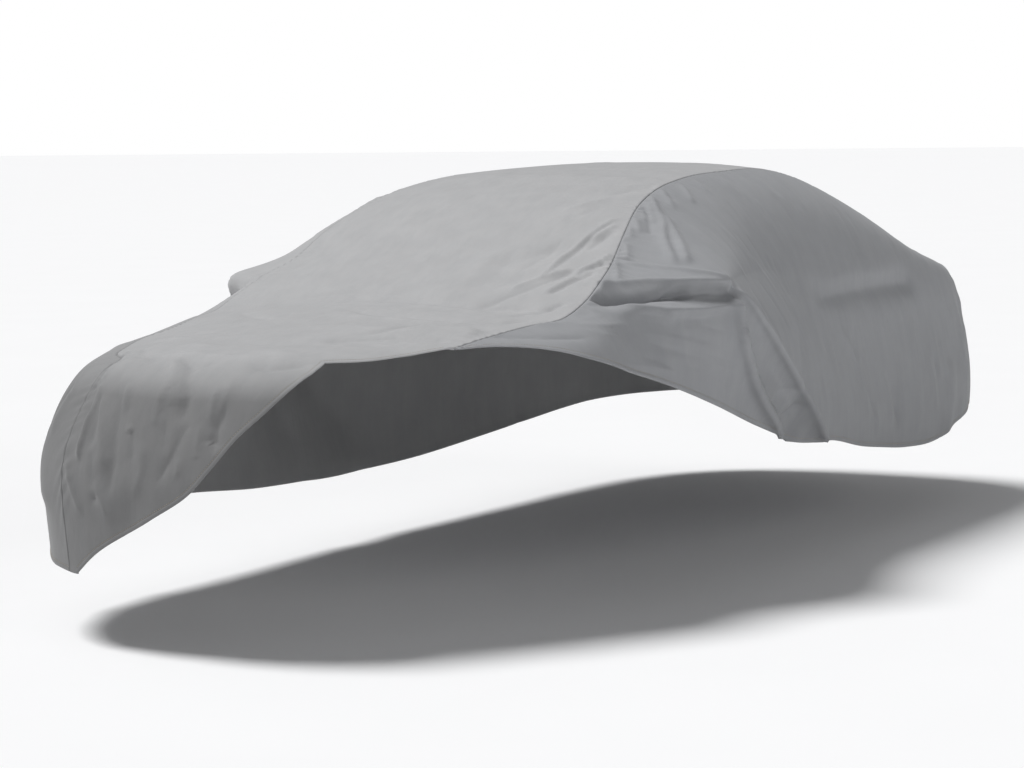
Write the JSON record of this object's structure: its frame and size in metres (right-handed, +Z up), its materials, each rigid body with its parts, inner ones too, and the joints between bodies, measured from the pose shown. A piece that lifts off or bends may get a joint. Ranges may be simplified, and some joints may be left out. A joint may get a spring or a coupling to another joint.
{
  "type": "car cover",
  "caption": "Fitted grey cloth cover for a saloon car, hollow below, with its near front corner swept back to the seam and its sides tented out at the front.",
  "frame": {"origin": "the point on the underside of the cloth where the roof of the covered car holds it up, on the cover's middle line", "axes": "+Z up, -Y towards the nose, +X towards the side that the picture shows"},
  "size_m": [2.1177, 4.9738, 1.2344],
  "materials": {
    "top_cloth": "matt grey non-woven cloth",
    "left_cloth": "matt grey non-woven cloth",
    "right_cloth": "matt grey non-woven cloth"
  },
  "bodies": {
    "root": {"top_panel": "top_cloth", "side_panel_left": "left_cloth", "side_panel_right": "right_cloth"}
  },
  "joints": []
}
